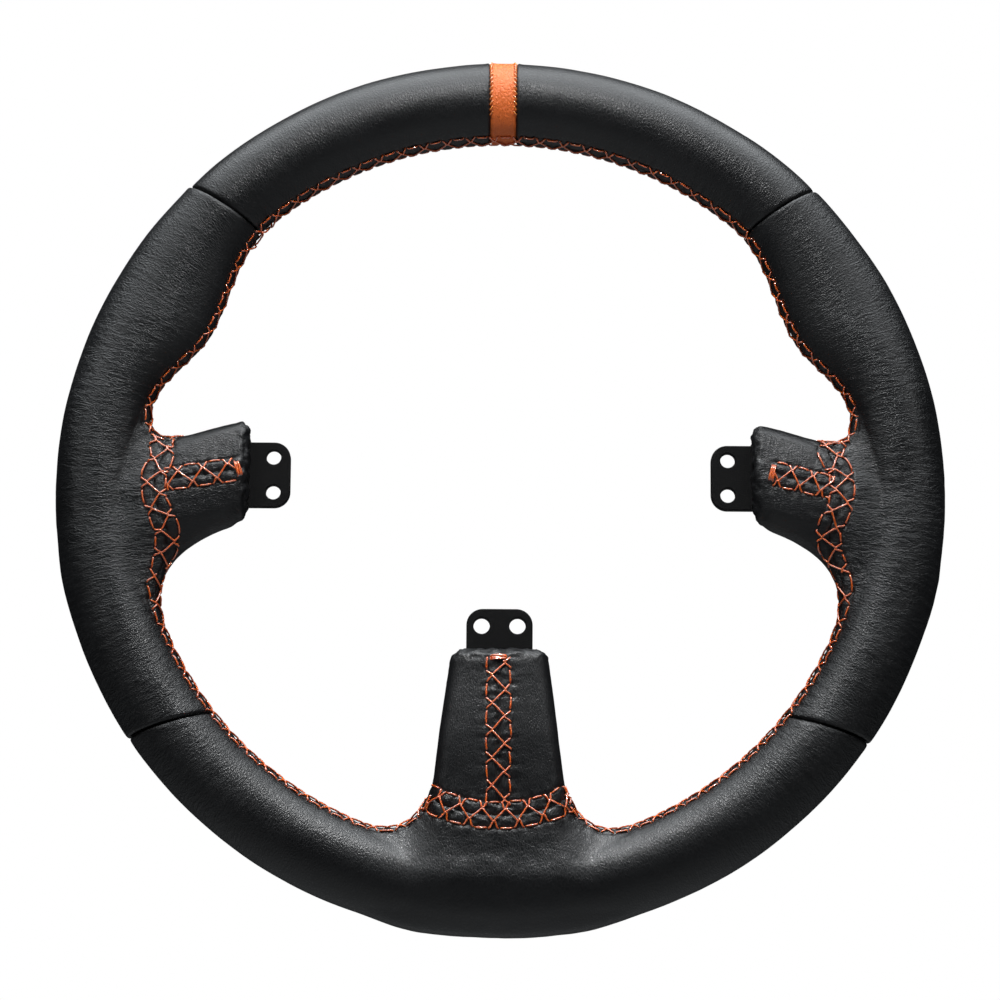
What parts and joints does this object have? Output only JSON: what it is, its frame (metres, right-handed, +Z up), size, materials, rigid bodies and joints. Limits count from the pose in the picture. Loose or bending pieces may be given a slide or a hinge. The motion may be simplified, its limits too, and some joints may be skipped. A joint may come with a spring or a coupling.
{
  "type": "racing wheel rim",
  "caption": "Round leather-wrapped racing wheel rim with padded spokes ending in drilled steel tabs, orange hand lacing and an orange centre band.",
  "frame": {"origin": "centre of the rim, in its middle plane", "axes": "+Z up to the centre band, +X to the driver's right, -Y towards the driver"},
  "size_m": [0.3, 0.0264, 0.3006],
  "materials": {
    "leather_black": "soft black leather, fine grain, low sheen",
    "leather_orange": "orange leather, fine grain",
    "thread_orange": "waxed orange polyester thread",
    "plate_black": "matt black powder coat",
    "tube_steel": "plain drawn steel tube",
    "foam_grey": "moulded foam, closed skin"
  },
  "bodies": {
    "root": {"edge_thread_rim_lower_left_back": "thread_orange", "edge_thread_rim_lower_left_front": "thread_orange", "edge_thread_rim_lower_right_back": "thread_orange", "edge_thread_rim_lower_right_front": "thread_orange", "edge_thread_rim_upper_back": "thread_orange", "edge_thread_rim_upper_front": "thread_orange", "edge_thread_spoke_base_bottom_cover": "thread_orange", "edge_thread_spoke_base_bottom_rim": "thread_orange", "edge_thread_spoke_base_left_cover": "thread_orange", "edge_thread_spoke_base_left_rim": "thread_orange", "edge_thread_spoke_base_right_cover": "thread_orange", "edge_thread_spoke_base_right_rim": "thread_orange", "edge_thread_spoke_seam_bottom_a": "thread_orange", "edge_thread_spoke_seam_bottom_b": "thread_orange", "edge_thread_spoke_seam_left_a": "thread_orange", "edge_thread_spoke_seam_left_b": "thread_orange", "edge_thread_spoke_seam_right_a": "thread_orange", "edge_thread_spoke_seam_right_b": "thread_orange", "foam_core": "foam_grey", "lacing_rim_lower_left": "thread_orange", "lacing_rim_lower_right": "thread_orange", "lacing_rim_upper": "thread_orange", "lacing_spoke_base_bottom": "thread_orange", "lacing_spoke_base_left": "thread_orange", "lacing_spoke_base_right": "thread_orange", "lacing_spoke_seam_bottom": "thread_orange", "lacing_spoke_seam_left": "thread_orange", "lacing_spoke_seam_right": "thread_orange", "leather_bottom": "leather_black", "leather_left": "leather_black", "leather_right": "leather_black", "leather_top_left": "leather_black", "leather_top_right": "leather_black", "marker_band": "leather_orange", "marker_thread_left": "thread_orange", "marker_thread_right": "thread_orange", "rim_tube": "tube_steel", "spoke_cover_bottom": "leather_black", "spoke_cover_left": "leather_black", "spoke_cover_right": "leather_black", "spoke_plate_bottom": "plate_black", "spoke_plate_left": "plate_black", "spoke_plate_right": "plate_black"}
  },
  "joints": []
}
